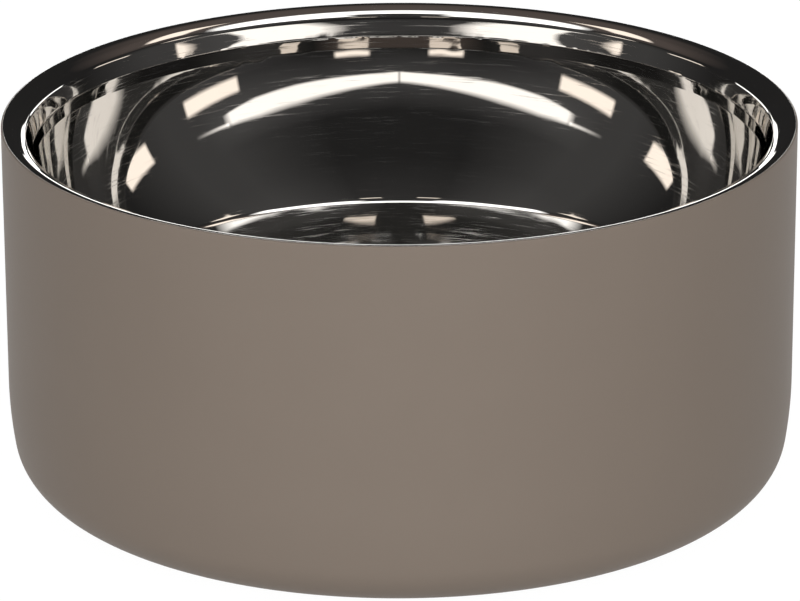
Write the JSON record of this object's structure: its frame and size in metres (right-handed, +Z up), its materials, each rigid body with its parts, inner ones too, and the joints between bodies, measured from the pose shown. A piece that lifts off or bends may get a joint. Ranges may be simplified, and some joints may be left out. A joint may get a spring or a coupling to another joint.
{
  "type": "dog bowl",
  "caption": "Round double-wall dog bowl: a polished steel liner with a rounded lip welded into a taupe powder-coated shell, on a non-slip foot ring.",
  "frame": {"origin": "centre of the surface that the bowl stands on, under the middle of the foot ring", "axes": "+Z up through the bowl's mouth along its axis, -Y towards the viewer of the picture, +X to the viewer's right"},
  "size_m": [0.21, 0.21, 0.1],
  "materials": {
    "polished_steel": "mirror polished, fine polishing lines around the bowl",
    "taupe_coat": "satin powder coat, fine even texture",
    "satin_steel": "bare pressed sheet, satin",
    "silicone": "matt silicone",
    "solder_glass": "fused, glossy, opaque",
    "getter_alloy": "pressed and sintered, matt"
  },
  "bodies": {
    "root": {"liner": "polished_steel", "outer_shell": "taupe_coat", "base_plate": "satin_steel", "non_slip_ring": "silicone", "seal_bead": "solder_glass", "seal_cover": "satin_steel", "getter_pill": "getter_alloy", "getter_clip": "satin_steel"}
  },
  "joints": []
}
